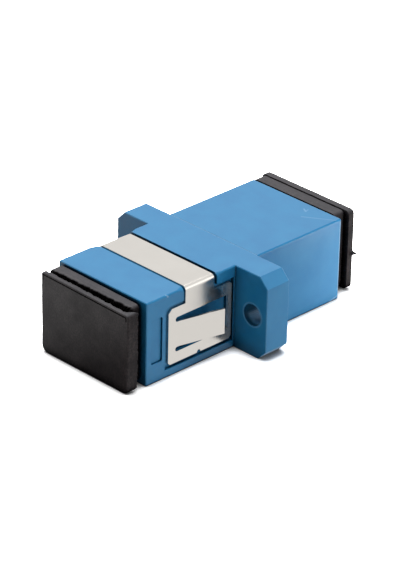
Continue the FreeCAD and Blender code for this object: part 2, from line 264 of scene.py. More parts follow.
@dataclass(frozen=True)
class HousingPlastic:
    """Injection-moulded PBT, the tough semi-crystalline plastic of such housings.

    The eye sees an even mid blue with a soft satin sheen, whitish at a low angle, thin bright lines
    of painted highlight on the slightly rounded edges, and painted shade in crevices where little light gets in.
    """

    name: str
    colour: str
    second_colour: str
    marks: tuple[Stroke, ...]
    # Colour of the painted highlights on the thin edge lines and in the screw holes, shared by the scratches and
    # nicks.
    highlight_and_mark_colour: str = "A9CDE8"
    edge_mm: float = 0.11
    edge_highlight_strength: float = 0.42
    edge_lean: Span = (0.08, 0.45)  # lean of the rounded normal for no line and a full one
    edge_start_mm: Span = (-2.6, -2.4)
    roughness: float = 0.34
    rough_change: float = 0.04
    specular: float = 0.56
    dark_specular: float = 0.05
    cloud_mm: float = 2.6
    cloud_noise: Span = (5.0, 0.6)  # detail and roughness of the noise
    grain_mm: float = 0.09  # coarser than the mould's real grain, so that it shows
    grain_height_mm: float = 0.004
    grain_strength: float = 0.35
    # Painted shade: darker in crevices, and on faces to the front, most where another face shelters them.
    crevice_mm: float = 0.42
    crevice_open: Span = (0.4, 0.86)  # openness over which a crevice clears
    crevice_dark: float = 0.2
    crevice_dull: Span = (0.3, 1.0)  # light in a crevice between which its sheen comes back
    shelter_mm: float = 2.0
    shelter_open: Span = (0.3, 0.95)
    shelter_dark: float = 0.3
    painted_front_light: float = 0.74
    front_share: float = 0.06
    far_front_share: float = 0.65
    middle_mm: Span = (-3.0, 3.0)
    side_share: float = 0.72
    side_on: Span = (0.9, 0.99)
    under_share: float = 0.05
    under_on: Span = (-0.5, -0.1)
    round_share: float = 0.45
    round_on: Span = (0.05, 0.3)
    ear_mm: Span = (7.5, 8.0)
    # Screw holes: a painted highlight on a thin ring round the mouth and on the floor deep inside, and painted shade
    # on the rest of the wall.
    screw_x_mm: float = 9.0
    screw_radius_mm: float = 1.2
    ring: tuple[float, float, float, float] = (1.02, 1.1, 1.12, 1.2)  # in radii
    inside: Span = (1.03, 1.06)  # in radii
    ring_highlight_strength: float = 0.16
    deep_mm: Span = (-1.3, -0.8)
    deep_painted_light: float = 0.18
    hole_dark: float = 0.2
    floor_on: Span = (0.2, 0.9)
    wall_on: Span = (0.3, 0.7)

    def rear_edge_highlights(self, tree: Tree) -> Socket:
        """Mask of the thin strips beside edges that turn away to the rear.

        Near such an edge the rounded normal leans to the rear more than the face's own, and there the
        mask paints a highlight.

        Args:
            tree: Node tree that gets the nodes.

        Returns:
            Socket of the mask, 0 away from such edges.
        """
        rounded = add_node(tree, "Bevel", self.edge_mm * MM, samples=8)
        own = add_node(tree, "NewGeometry", output="True Normal")
        change = add_node(tree, "VectorMath", rounded, own, operation="SUBTRACT")
        lean = add_node(tree, "VectorMath", change, REAR, operation="DOT_PRODUCT")
        rear, side = (add_node(tree, "Math", facing(tree, axis), 0.0, operation="MAXIMUM") for axis in (REAR, RIGHT))
        turned = add_node(tree, "Math", rear, side, operation="MULTIPLY")
        lean = add_node(tree, "Math", lean, turned, operation="MAXIMUM")
        strip = add_node(tree, "MapRange", lean, *self.edge_lean, 0.0, self.edge_highlight_strength, **SMOOTH)
        behind = add_node(tree, "MapRange", lying(tree, REAR), *metres(self.edge_start_mm), 0.0, 1.0)
        return add_node(tree, "Math", strip, behind, operation="MULTIPLY")

    def sheen(self, tree: Tree, forward: Socket) -> Socket:
        """Share of the full sheen, by the way a face looks.

        Args:
            tree: Node tree that gets the nodes.
            forward: Socket of how square a face is to the front.

        Returns:
            Socket of the share: less on faces to the front, sideways and down, and on the rounded
            edges of the body, where a normal points sideways and up at once.
        """
        right = lying(tree, RIGHT)
        out = add_node(tree, "Math", right, operation="ABSOLUTE")
        side, level = (add_node(tree, "Math", facing(tree, axis), operation="ABSOLUTE") for axis in (RIGHT, UP))
        front = add_node(tree, "MapRange", right, *metres(self.middle_mm), self.far_front_share, self.front_share)
        front = add_node(tree, "MapRange", forward, *SQUARE_ON, 1.0, front)
        sideways = add_node(tree, "MapRange", side, *self.side_on, 1.0, self.side_share)
        down = add_node(tree, "MapRange", facing(tree, UP), *self.under_on, self.under_share, 1.0)
        rounded = add_node(tree, "Math", side, level, operation="MULTIPLY")
        body = add_node(tree, "MapRange", out, *metres(self.ear_mm), 1.0, 0.0)
        rounded = add_node(tree, "Math", rounded, body, operation="MULTIPLY")
        share = add_node(tree, "MapRange", rounded, *self.round_on, 1.0, self.round_share)
        for other in (front, sideways, down):
            share = add_node(tree, "Math", share, other, operation="MULTIPLY")
        return share

    def screw_hole(self, tree: Tree, place: Socket) -> tuple[Socket, Socket]:
        """Masks of the screw holes' mouths and of their unlit walls.

        Args:
            tree: Node tree that gets the nodes.
            place: Socket of the object coordinates.

        Returns:
            Strength of the painted highlight, on the thin ring round the mouth and on the lit floor deep
            inside, and share of light that the place keeps under the painted shade of the walls, 1 outside the holes.
        """
        folded = add_node(tree, "VectorMath", place, operation="ABSOLUTE")
        offset = add_node(tree, "VectorMath", folded, (self.screw_x_mm * MM, 0.0, 0.0), operation="SUBTRACT")
        offset = add_node(tree, "VectorMath", offset, (1.0, 0.0, 1.0), operation="MULTIPLY")
        distance = add_node(tree, "VectorMath", offset, operation="LENGTH")
        radii = add_node(tree, "Math", distance, self.screw_radius_mm * MM, operation="DIVIDE")
        rise = add_node(tree, "MapRange", radii, *self.ring[:2], 0.0, self.ring_highlight_strength)
        fall = add_node(tree, "MapRange", radii, *self.ring[2:], 1.0, 0.0)
        ring = add_node(tree, "Math", rise, fall, operation="MULTIPLY")
        deep = add_node(tree, "MapRange", lying(tree, REAR), *metres(self.deep_mm), 0.0, 1.0, **SMOOTH)
        floor = add_node(tree, "MapRange", facing(tree, UP), *self.floor_on, 0.0, 1.0)
        floor = add_node(tree, "Math", floor, deep, operation="MULTIPLY")
        inside = add_node(tree, "MapRange", radii, *self.inside, 1.0, 0.0)
        end_on = add_node(tree, "Math", facing(tree, REAR), operation="ABSOLUTE")
        wall = add_node(tree, "MapRange", end_on, *self.wall_on, 1.0, 0.0)
        wall = add_node(tree, "Math", inside, wall, operation="MULTIPLY")
        highlight_and_wear = add_node(tree, "Math", wall, floor, operation="MULTIPLY")
        highlight_and_wear = add_node(tree, "Math", highlight_and_wear, self.deep_painted_light, operation="MULTIPLY")
        lit = add_node(tree, "MapRange", floor, 0.0, 1.0, self.hole_dark, 1.0)
        kept = add_node(tree, "MapRange", wall, 0.0, 1.0, 1.0, lit)
        return add_node(tree, "Math", ring, highlight_and_wear, operation="MAXIMUM"), kept

    def make(self) -> bpy.types.Material:
        """Builds the material.

        Returns:
            The finished material.
        """
        material, tree = new_material(self.name)
        place = add_node(tree, "TexCoord", output="Object")
        forward = facing(tree, FRONT)
        cloud = add_node(tree, "TexNoise", place, per_metre(self.cloud_mm), *self.cloud_noise)
        clouded = add_node(tree, "MapRange", cloud, *NOISE_SPREAD, 0.0, 1.0)
        tone = add_node(tree, "Mix", clouded, linear(self.colour), linear(self.second_colour), data_type="RGBA")
        ring, kept = self.screw_hole(tree, place)
        # Painted highlights on the rear edges, in the screw holes and from two edge strokes, with the scratches and
        # nicks, mix in the light colour.
        highlight_and_wear = add_node(tree, "Math", self.rear_edge_highlights(tree), ring, operation="MAXIMUM")
        for mark in self.marks:
            highlight_and_wear = add_node(tree, "Math", highlight_and_wear, mark.mask(tree, place), operation="MAXIMUM")
        # Painted shade in crevices and in the screw holes' walls, and on faces to the front where another face
        # shelters them.
        crevice = add_node(tree, "AmbientOcclusion", None, self.crevice_mm * MM, output="AO", samples=8)
        shade = add_node(tree, "MapRange", crevice, *self.crevice_open, self.crevice_dark, 1.0, **SMOOTH)
        shade = add_node(tree, "Math", shade, kept, operation="MULTIPLY")
        shelter = add_node(tree, "AmbientOcclusion", None, self.shelter_mm * MM, output="AO", samples=8)
        shelter = add_node(tree, "MapRange", shelter, *self.shelter_open, self.shelter_dark * self.painted_front_light,
                           self.painted_front_light)
        front = add_node(tree, "MapRange", forward, *SQUARE_ON, 1.0, shelter)
        light = add_node(tree, "Math", shade, front, operation="MULTIPLY")
        tone = add_node(tree, "Mix", light, BLACK, tone, data_type="RGBA")
        tone = add_node(tree, "Mix", highlight_and_wear, tone, linear(self.highlight_and_mark_colour), data_type="RGBA")
        grain = add_node(tree, "TexNoise", place, per_metre(self.grain_mm), FINE)
        bump = add_node(tree, "Bump", inputs={
            "Strength": self.grain_strength, "Distance": self.grain_height_mm * MM, "Height": grain})
        rough = add_node(tree, "MapRange", cloud, *NOISE_SPREAD, self.roughness - self.rough_change,
                         self.roughness + self.rough_change)
        specular = add_node(tree, "MapRange", shade, *self.crevice_dull, self.dark_specular, self.specular)
        specular = add_node(tree, "Math", self.sheen(tree, forward), specular, operation="MULTIPLY")
        add_node(tree, "OutputMaterial", add_node(tree, "BsdfPrincipled", inputs={
            "Base Color": tone, "Roughness": rough, "Normal": bump, "Specular IOR Level": specular}))
        return material


@dataclass(frozen=True)
class HolderPlastic:
    """Unfilled white moulding polymer of the latch holders: slightly waxy and softly shining."""

    name: str = "white_holder_polymer"
    colour: str = "C9C9C4"
    roughness: float = 0.35
    ripple_mm: float = 0.6
    ripple_height_mm: float = 0.01
    ripple_strength: float = 0.2
    wax: float = 0.15
    wax_depth_mm: Triple = (0.4, 0.4, 0.35)

    def make(self) -> bpy.types.Material:
        """Builds the material.

        Returns:
            The finished material.
        """
        material, tree = new_material(self.name)
        place = add_node(tree, "TexCoord", output="Object")
        ripple = add_node(tree, "TexNoise", place, per_metre(self.ripple_mm), FINE)
        bump = add_node(tree, "Bump", inputs={
            "Strength": self.ripple_strength, "Distance": self.ripple_height_mm * MM, "Height": ripple})
        add_node(tree, "OutputMaterial", add_node(tree, "BsdfPrincipled", inputs={
            "Base Color": linear(self.colour), "Roughness": self.roughness, "Normal": bump,
            "Subsurface Weight": self.wax, "Subsurface Radius": Vector(self.wax_depth_mm) * MM}))
        return material


@dataclass(frozen=True)
class GroundZirconia:
    """Sintered zirconia ceramic, ground and polished: hard, white and glossy like porcelain."""

    name: str = "ground_zirconia"
    colour: str = "EDEDE6"
    ior: float = 2.1
    roughness: float = 0.12
    rough_change: float = 0.1
    line_mm: float = 0.08  # coarser than real grinding lines, so that they show
    line_stretch: Triple = (0.05, 1.0, 0.05)

    def make(self) -> bpy.types.Material:
        """Builds the material.

        Returns:
            The finished material.
        """
        material, tree = new_material(self.name)
        place = add_node(tree, "TexCoord", output="Object")
        place = add_node(tree, "Mapping", place, inputs={"Scale": self.line_stretch})
        rings = add_node(tree, "TexNoise", place, per_metre(self.line_mm), FINE)
        rough = add_node(tree, "MapRange", rings, *NOISE_SPREAD, self.roughness, self.roughness + self.rough_change)
        add_node(tree, "OutputMaterial", add_node(tree, "BsdfPrincipled", inputs={
            "Base Color": linear(self.colour), "Roughness": rough, "IOR": self.ior}))
        return material


@dataclass(frozen=True)
class RolledSteel:
    """Cold-rolled stainless spring strip.

    The eye sees a bright, slightly warm metal that mirrors its surroundings a little blurred, with
    very faint lines along the strip's length, a few soft smears, and a duller, dusty rear border.
    """

    name: str
    colour: str
    roughness: float = 0.18
    rough_change: Span = (0.03, 0.07)
    line_mm: float = 0.10  # coarser than real rolling lines, so that they show
    line_height_mm: float = 0.003
    line_strength: float = 0.05
    line_stretch: Triple = (0.06, 1.0, 0.06)
    smear_mm: float = 2.5
    smear_noise: Span = (5.0, 0.65)  # detail and roughness of the noise
    smear_height_mm: float = 0.025
    smear_strength: float = 0.3
    border_mm: Span = (-3.7, -2.4)
    border_roughness: float = 0.38
    dust: float = 0.28
    dust_mm: float = 0.3
    dust_and_top_light_colour: str = "8C8B88"
    speck_spread: Span = (0.42, 0.6)
    speck_least: float = 0.15

    def make(self) -> bpy.types.Material:
        """Builds the material.

        Returns:
            The finished material.
        """
        material, tree = new_material(self.name)
        place = add_node(tree, "TexCoord", output="Object")
        stretched = add_node(tree, "Mapping", place, inputs={"Scale": self.line_stretch})
        lines = add_node(tree, "TexNoise", stretched, per_metre(self.line_mm), FINE)
        smears = add_node(tree, "TexNoise", place, per_metre(self.smear_mm), *self.smear_noise)
        bump = add_node(tree, "Bump", inputs={
            "Strength": self.line_strength, "Distance": self.line_height_mm * MM, "Height": lines})
        bump = add_node(tree, "Bump", inputs={
            "Strength": self.smear_strength, "Distance": self.smear_height_mm * MM, "Height": smears, "Normal": bump})
        rough = add_node(tree, "MapRange", smears, *NOISE_SPREAD, self.roughness - self.rough_change[0],
                         self.roughness + self.rough_change[1])
        along = lying(tree, REAR)
        rough = add_node(tree, "MapRange", along, *metres(self.border_mm), rough, self.border_roughness)
        specks = add_node(tree, "TexNoise", place, per_metre(self.dust_mm), SPECKLED)
        specks = add_node(tree, "MapRange", specks, *self.speck_spread, self.speck_least, 1.0)
        dusty = add_node(tree, "MapRange", along, *metres(self.border_mm), 0.0, self.dust)
        dusty = add_node(tree, "Math", dusty, specks, operation="MULTIPLY")
        tone = add_node(tree, "Mix", dusty, linear(self.colour), linear(self.dust_and_top_light_colour), data_type="RGBA")
        metal = add_node(tree, "MapRange", dusty, 0.0, 1.0, 1.0, 0.0)
        add_node(tree, "OutputMaterial", add_node(tree, "BsdfPrincipled", inputs={
            "Base Color": tone, "Metallic": metal, "Roughness": rough, "Normal": bump}))
        return material


@dataclass(frozen=True)
class SoftRubber:
    """Soft moulded rubber, black with a brownish bloom.

    The eye sees a dull near-black skin with fine crumbs in it, grey dust and painted light from above on top, dull
    sides, and painted shade in its grooves.
    """

    name: str
    colour: str
    bloom_colour: str
    roughness: float = 0.5
    specular: float = 0.32
    specular_change: Span = (0.75, 1.15)
    side_share: float = 0.45
    # Dust and painted top light: faces that look up are mixed towards a paler grey.
    dust: float = 0.3
    dust_and_top_light_colour: str = "55555B"
    dust_and_top_light_on: Span = (0.3, 0.9)
    crumb_mm: float = 0.2
    crumb_roughness: float = 0.6
    crumb_spread: Span = (0.4, 0.66)
    crumb_height_mm: float = 0.035
    crumb_strength: float = 0.5
    bloom_mm: float = 3.0
    bloom_noise: Span = (5.0, 0.7)  # detail and roughness of the noise
    bloom_least: float = 0.15
    bloom_sheen: Span = (0.35, 0.65)
    crevice_mm: float = 1.5
    crevice_open: Span = (0.5, 0.93)
    groove_crumbs: float = 0.45
    groove_spread: Span = (0.5, 0.68)

    def make(self) -> bpy.types.Material:
        """Builds the material.

        Returns:
            The finished material.
        """
        material, tree = new_material(self.name)
        place = add_node(tree, "TexCoord", output="Object")
        crumbs = add_node(tree, "TexNoise", place, per_metre(self.crumb_mm), SPECKLED, self.crumb_roughness)
        bloom = add_node(tree, "TexNoise", place, per_metre(self.bloom_mm), *self.bloom_noise)
        crumbly = add_node(tree, "MapRange", crumbs, *self.crumb_spread, 0.0, 1.0)
        blooming = add_node(tree, "MapRange", bloom, *NOISE_SPREAD, self.bloom_least, 1.0)
        browned = add_node(tree, "Math", crumbly, blooming, operation="MULTIPLY")
        tone = add_node(tree, "Mix", browned, linear(self.colour), linear(self.bloom_colour), data_type="RGBA")
        # Dust and painted top light on faces that look up.
        dusty = add_node(tree, "MapRange", facing(tree, UP), *self.dust_and_top_light_on, 0.0, self.dust)
        tone = add_node(tree, "Mix", dusty, tone, linear(self.dust_and_top_light_colour), data_type="RGBA")
        # Painted shade in grooves and gaps, lifted where loose crumbs lie.
        crevice = add_node(tree, "AmbientOcclusion", None, self.crevice_mm * MM, output="AO", samples=8)
        shade = add_node(tree, "MapRange", crevice, *self.crevice_open, 0.0, 1.0, **SMOOTH)
        loose = add_node(tree, "MapRange", crumbs, *self.groove_spread, 0.0, self.groove_crumbs)
        shade = add_node(tree, "Math", shade, loose, operation="MAXIMUM")
        tone = add_node(tree, "Mix", shade, BLACK, tone, data_type="RGBA")
        least, most = (share * self.specular for share in self.specular_change)
        sheen = add_node(tree, "MapRange", bloom, *self.bloom_sheen, least, most)
        sideways = add_node(tree, "MapRange", facing(tree, RIGHT), *SQUARE_ON, 1.0, self.side_share)
        sheen = add_node(tree, "Math", sheen, sideways, operation="MULTIPLY")
        sheen = add_node(tree, "Math", shade, sheen, operation="MULTIPLY")
        bump = add_node(tree, "Bump", inputs={
            "Strength": self.crumb_strength, "Distance": self.crumb_height_mm * MM, "Height": crumbs})
        add_node(tree, "OutputMaterial", add_node(tree, "BsdfPrincipled", inputs={
            "Base Color": tone, "Roughness": self.roughness, "Normal": bump, "Specular IOR Level": sheen}))
        return material


# ---- Moulded and folded parts --------------------------------------------------------------


@dataclass(frozen=True)
class SubAssembly:
    """Group of CAD pieces that share one finish.

    Attributes:
        nodes: Names of the CAD nodes.
    """

    nodes: tuple[str, ...]

    def finish(self) -> bpy.types.Material:
        """Builds the group's material."""
        raise NotImplementedError

    def make(self) -> None:
        """Gives each CAD piece of the group the group's material in all its slots."""
        material = self.finish()
        for name in self.nodes:
            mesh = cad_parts[name].data
            mesh.materials.clear()
            mesh.materials.append(material)
            log.info("dressed %s with %s", name, material.name)


@dataclass(frozen=True)
class HousingPair(SubAssembly):
    """The two moulded housing halves, blue, with the small marks that handling has left on them."""

    # Besides the marks of handling, two strokes are painted highlights along the rear upright edge and the lower rear
    # corner.
    nodes: tuple[str, ...] = ("front_housing", "rear_housing")
    colour: str = "2279AD"
    second_colour: str = "2C82B3"
    scratches: tuple[Stroke, ...] = (
        Stroke((2.2, 12.8, 4.7), (2.75, 12.5, 4.7), 0.12, 0.28),
        Stroke((2.75, 12.5, 4.7), (2.6, 13.0, 4.7), 0.10, 0.2),
        Stroke((3.3, 11.3, 4.7), (6.3, 13.3, 4.7), 0.12, 0.18),
    )
    nicks: tuple[Stroke, ...] = (Stroke((6.3, -11.3, 4.62), (6.42, -11.1, 4.5), 0.14, 0.5),)
    # Painted highlights along the rear upright edge and along the lower rear corner.
    painted_edge_highlights: tuple[Stroke, ...] = (
        Stroke((6.45, 13.98, 4.3), (6.45, 13.98, -3.6), 0.22, 0.6),
        Stroke((6.45, 13.9, -4.3), (6.45, 12.6, -4.62), 0.14, 0.35),
    )

    def finish(self) -> bpy.types.Material:
        """Builds the blue plastic with its marks."""
        marks = self.scratches + self.nicks + self.painted_edge_highlights
        return HousingPlastic("blue_pbt", self.colour, self.second_colour, marks).make()


@dataclass(frozen=True)
class SpringClip(SubAssembly):
    """The folded spring strip."""

    nodes: tuple[str, ...] = ("spring_clip",)
    colour: str = "D6D2CC"

    def finish(self) -> bpy.types.Material:
        """Builds the bright steel."""
        return RolledSteel("rolled_spring_steel", self.colour).make()


@dataclass(frozen=True)
class LatchHolders(SubAssembly):
    """The two latch holders inside the housing."""

    nodes: tuple[str, ...] = ("front_latch_holder", "rear_latch_holder")

    def finish(self) -> bpy.types.Material:
        """Builds the waxy white plastic."""
        return HolderPlastic().make()


@dataclass(frozen=True)
class AlignmentSleeve(SubAssembly):
    """The split ceramic sleeve between the two holders."""

    nodes: tuple[str, ...] = ("alignment_sleeve",)

    def finish(self) -> bpy.types.Material:
        """Builds the ground ceramic."""
        return GroundZirconia().make()


# ---- Dust caps -----------------------------------------------------------------------------


class CapEnd(Enum):
    """The end of the adapter that a dust cap closes: CAD node, body, and outward sign along Y."""

    FRONT = ("front_dust_cap", "front_cap", -1.0)
    REAR = ("rear_dust_cap", "rear_cap", 1.0)

    @property
    def node(self) -> str:
        """Name of the CAD node that the cap replaces."""
        return self.value[0]

    @property
    def body(self) -> str:
        """Name of the body that carries the cap."""
        return self.value[1]

    @property
    def outward(self) -> float:
        """Sign of the way out of the port, along Y."""
        return self.value[2]


@dataclass(frozen=True)
class CornerBox:
    """Rectangle across the plug axis with its own radius in each corner, in millimetres.

    Attributes:
        left: X of the left side.
        right: X of the right side.
        foot: Z of the lower side.
        top: Z of the upper side, in the middle.
        rounds: Radii, from the upper right corner round by the upper left and lower left.
        fall: How much lower the upper side's right end is than its left end.
        least_round: Radius that a corner keeps however far a ring is shrunk.
    """

    left: float
    right: float
    foot: float
    top: float
    rounds: tuple[float, float, float, float]
    fall: float = 0.0
    least_round: float = 0.04

    def ring(self, inset: float, per_side: int, per_corner: int) -> np.ndarray:
        """Points round the rectangle, shrunk by an inset.

        Each corner is a quarter circle whose radius shrinks with the inset, each side is evenly
        divided between its two corners, and the upper half is sheared by the fall.

        Args:
            inset: How far inside the rectangle the ring lies.
            per_side: Steps along each side.
            per_corner: Steps round each corner.

        Returns:
            One row of X and Z per point, anticlockwise seen against +Y.
        """
        left, right = self.left + inset, self.right - inset
        foot, top = self.foot + inset, self.top - inset
        turns = np.linspace(0.0, math.pi / 2, per_corner + 1)
        arcs = []
        for index, (side_x, side_z) in enumerate(((1, 1), (-1, 1), (-1, -1), (1, -1))):
            radius = max(self.rounds[index] - inset, self.least_round)
            centre_x = (right if side_x > 0 else left) - side_x * radius
            centre_z = (top if side_z > 0 else foot) - side_z * radius
            angle = turns + index * math.pi / 2
            arcs.append(np.stack([centre_x + radius * np.cos(angle), centre_z + radius * np.sin(angle)], axis=1))
        shares = np.linspace(0.0, 1.0, per_side + 1)[1:-1, None]
        runs = []
        for index, arc in enumerate(arcs):
            following = arcs[(index + 1) % len(arcs)]
            runs += [arc, arc[-1] + (following[0] - arc[-1]) * shares]
        points = np.concatenate(runs)
        across = (points[:, 0] - (left + right) / 2) / (right - left)
        points[:, 1] -= self.fall * ramp(points[:, 1], foot, top) * across
        return points


@dataclass(frozen=True)
class Nub:
    """Small flash nub on a cap's rim, in millimetres."""

    x: float
    z: float
    depth: float
    reach: float
    spread: float
    rise: float = 0.3  # share of its reach by which it turns up


@dataclass(frozen=True)
class Station:
    """One ring round the plug axis, in millimetres.

    Attributes:
        outline: Rectangle that the ring follows.
        inset: How far inside the rectangle it lies.
        depth: Distance from the housing's end face, out of the port.
        flare: Share of the groove's slant that moves it.
        tear: Share of the groove's torn edge that moves it.
        crease: Share of the crease along the face's upper edge that sinks it.
    """

    outline: CornerBox
    inset: float
    depth: float
    flare: float = 0.0
    tear: float = 0.0
    crease: float = 0.0


@dataclass(frozen=True)
class DustCap:
    """Soft rubber dust cap: rim plate, groove, band, and a hollow skirt inside the port.

    Depths are measured out of the port from the housing's end face. The moulding is a soft one, so
    the groove's edges are torn and the outlines are a little out of true.
    """

    end: CapEnd
    rim: CornerBox
    band: CornerBox
    band_end: float
    groove_end: float
    edge_round: float
    tear: float
    nub: Nub
    side_skew: Span = (0.0, 0.0)  # lean of the groove's inner and outer edge on the right
    crease_depth: float = 0.0
    gap: float = 0.22
    rim_end: float = 2.6
    groove_depth: float = 0.75
    gap_depth: float = 0.45
    ridge_half: float = 0.005  # half the height of the fine ridges round a raised part
    waviness: float = 0.035
    top_lean: float = 0.55  # share of the inner edge's lean on its upper side
    skirt_half: Span = (4.4, 3.6)
    skirt_round: float = 0.5
    skirt_wall: float = 0.9
    skirt_length: float = 5.0
    mouth_round: float = 0.04
    floor_round: float = 0.05
    lean_side: Span = (-0.8, -0.1)  # where the lean begins and is full, from the right side
    lean_top: Span = (-1.5, -0.5)  # the same from the upper side
    crease_top: Span = (-0.9, -0.6)  # the same for the crease
    crease_rings: tuple[Span, ...] = ((0.0, 0.0), (0.02, 1.0), (0.1, 1.0), (0.15, 0.0))  # inset and share
    tears: tuple[int, int, int] = (84, 104, 9)  # heights round the groove's two edges and the outlines
    tear_sums: tuple[tuple[int, float], ...] = ((1, 0.45), (2, 0.3), (4, 0.25))  # times that count, height
    seed: int = 3
    seed_step: int = 20
    per_side: int = 130
    per_corner: int = 8
    per_edge: int = 4
    per_lip: int = 14

    @property
    def round_count(self) -> int:
        """Points in every ring."""
        return 4 * (self.per_side + self.per_corner)

    @property
    def body_end(self) -> float:
        """Distance of the housing's end face from the origin, from the CAD housing."""
        low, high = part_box("front_housing" if self.end is CapEnd.FRONT else "rear_housing")
        return (-low.y if self.end is CapEnd.FRONT else high.y) / MM

    def torn(self, count: int, seed: int) -> np.ndarray:
        """Uneven line round the cap, between -1 and 1.

        Evenly spaced random heights, joined by the smoothstep curve, plus the same at two and four
        times the count and smaller heights, as tear_sums says. The line closes on itself.

        Args:
            count: Heights round the cap.
            seed: Start of the random row.

        Returns:
            One value per ring point.
        """
        total = np.zeros(self.round_count)
        for scale, height in self.tear_sums:
            heights = np.random.default_rng(seed + scale).uniform(-1.0, 1.0, count * scale)
            place = np.arange(self.round_count) / self.round_count * count * scale
            low = place.astype(int)
            share = place - low
            share = share * share * (3 - 2 * share)
            total += height * (heights[low] * (1 - share) + heights[(low + 1) % (count * scale)] * share)
        return total

    def skirt(self) -> list[Station]:
        """Rings inside the hollow skirt and back along its outside.

        Returns:
            The rings, from the middle of the blind end by the mouth to the housing's end face.
        """
        half_x, half_z = self.skirt_half
        box = CornerBox(-half_x, half_x, -half_z, half_z, (self.skirt_round,) * 4)
        wall, length = self.skirt_wall, self.skirt_length
        bevel = wall / 3
        rows = [Station(box, inset, 0.0) for inset in np.linspace(half_z - 0.1, wall + self.floor_round, 6)]
        rows += [Station(box, wall, depth) for depth in np.linspace(-self.floor_round, self.mouth_round - length, 8)]
        rows += [Station(box, wall - self.mouth_round, -length), Station(box, bevel, -length)]
        return rows + [Station(box, 0.0, depth) for depth in np.linspace(bevel - length, 0.0, 10)]

    def face(self) -> list[Station]:
        """Rings over the outer face, with the crease just inside its rounded edge.

        Returns:
            The rings, from that edge to the middle.
        """
        edge = self.edge_round + 0.05
        rows = [Station(self.rim, edge + inset, self.rim_end, crease=crease) for inset, crease in self.crease_rings]
        half = (self.rim.top - self.rim.foot) / 2
        return rows + [Station(self.rim, inset, self.rim_end) for inset in np.geomspace(edge + 0.2, half - 0.15, 12)]

    def lip(self, outline: CornerBox, start: float, stop: float, flare: float) -> list[Station]:
        """Rings over one raised part, with both its edges rounded and fine ridges between them.

        The edges are quarter circles, and the ridges two waves of a cosine.

        Args:
            outline: Outline of the raised part.
            start: Depth of the edge nearer the housing.
            stop: Depth of the outer edge.
            flare: Share of the groove's slant at the inner edge.

        Returns:
            The rings, from the inner edge to the outer one.
        """
        radius = self.edge_round
        torn_start, torn_stop = (0.0, 1.0) if flare == 0.0 else (1.0, 0.0)
        round_in, round_out = [], []
        for turn in np.linspace(0.0, math.pi / 2, self.per_edge + 1):
            near, far = radius * (1 - math.sin(turn)), radius * (1 - math.cos(turn))
            round_in.append(Station(outline, near, start + far, flare, torn_start))
            round_out.append(Station(outline, far, stop - near, 0.0, torn_stop))
        ridges = []
        for share in np.linspace(0.0, 1.0, self.per_lip + 1)[1:-1]:
            ridge = self.ridge_half * (1 - math.cos(share * 4 * math.pi))
            fade = 1 - share if flare else share
            depth = start + radius + (stop - start - 2 * radius) * share
            ridges.append(Station(outline, ridge, depth, flare * fade, fade ** 4))
        return round_in + ridges + round_out

    def stations(self) -> list[Station]:
        """Rings from the skirt's blind end to the middle of the rim's face.

        Returns:
            The rings in order: skirt, slit, band, groove, plate and face.
        """
        rows = self.skirt()
        rows += [Station(self.band, self.gap_depth, depth) for depth in (0.0, self.gap)]
        rows += self.lip(self.band, self.gap, self.band_end, 0.0)
        rows += [Station(self.band, self.groove_depth, self.band_end, tear=1.0),
                 Station(self.rim, self.groove_depth, self.groove_end, flare=1.0, tear=1.0)]
        return rows + self.lip(self.rim, self.groove_end, self.rim_end, 1.0) + self.face()

    def surface(self) -> np.ndarray:
        """Vertices ring by ring.

        Each station's ring lies at its depth. The flare slants the groove on the right side, the
        tear wanders along its edges, the crease sinks the face along its upper edge only, and the
        nub is a narrow bell that pushes the rim outwards.

        Returns:
            Array of rings by points by three, in millimetres.
        """
        rings = []
        torn_in, torn_out, waves = (
            self.torn(count, self.seed + self.seed_step * index)[:, None] for index, count in enumerate(self.tears))
        for row in self.stations():
            outline, nub = row.outline, self.nub
            points = outline.ring(row.inset, self.per_side, self.per_corner)
            x, z = points[:, :1], points[:, 1:]
            uneven = self.tear * row.tear * (torn_out if row.flare else torn_in)
            on_side = ramp(x - outline.right, *self.lean_side)
            on_top = ramp(x, outline.left, outline.right) * ramp(z - outline.top, *self.lean_top)
            lean = on_side if row.flare else np.maximum(on_side, self.top_lean * on_top)
            opening = self.side_skew[1 if row.flare else 0] * (row.flare or row.tear) * lean
            crease = self.crease_depth * row.crease * ramp(z - outline.top, *self.crease_top)
            y = self.end.outward * (self.body_end + row.depth - crease + opening + uneven)
            moulded = outline is self.rim or outline is self.band
            waviness = self.waviness * max(0.0, 1 - row.inset / 2) if moulded else 0.0
            away = points - np.array([(outline.left + outline.right) / 2, (outline.foot + outline.top) / 2])
            away /= np.linalg.norm(away, axis=1)[:, None]
            gap = (x - nub.x) ** 2 + (z - nub.z) ** 2 + (row.depth - nub.depth) ** 2
            bell = np.exp(-gap / (2 * nub.spread ** 2)) * nub.reach
            moved = points + away * (waviness * waves) + bell * np.array([1.0, nub.rise])
            rings.append(np.hstack([moved[:, :1], y, moved[:, 1:]]))
        return np.array(rings)

    def make(self, material: bpy.types.Material) -> None:
        """Builds the cap, puts it on its body and hides the CAD cap.

        Args:
            material: The rubber.
        """
        mesh = grid_mesh(self.end.node + "_skin", self.surface(), flip=self.end is CapEnd.REAR)
        mesh.materials.append(material)
        cap = add_object(mesh.name, mesh)
        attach(cap, self.end.body)
        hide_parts(self.end.node)
        log.info("built %s with %d vertices", cap.name, len(mesh.vertices))


# ---- The room ------------------------------------------------------------------------------


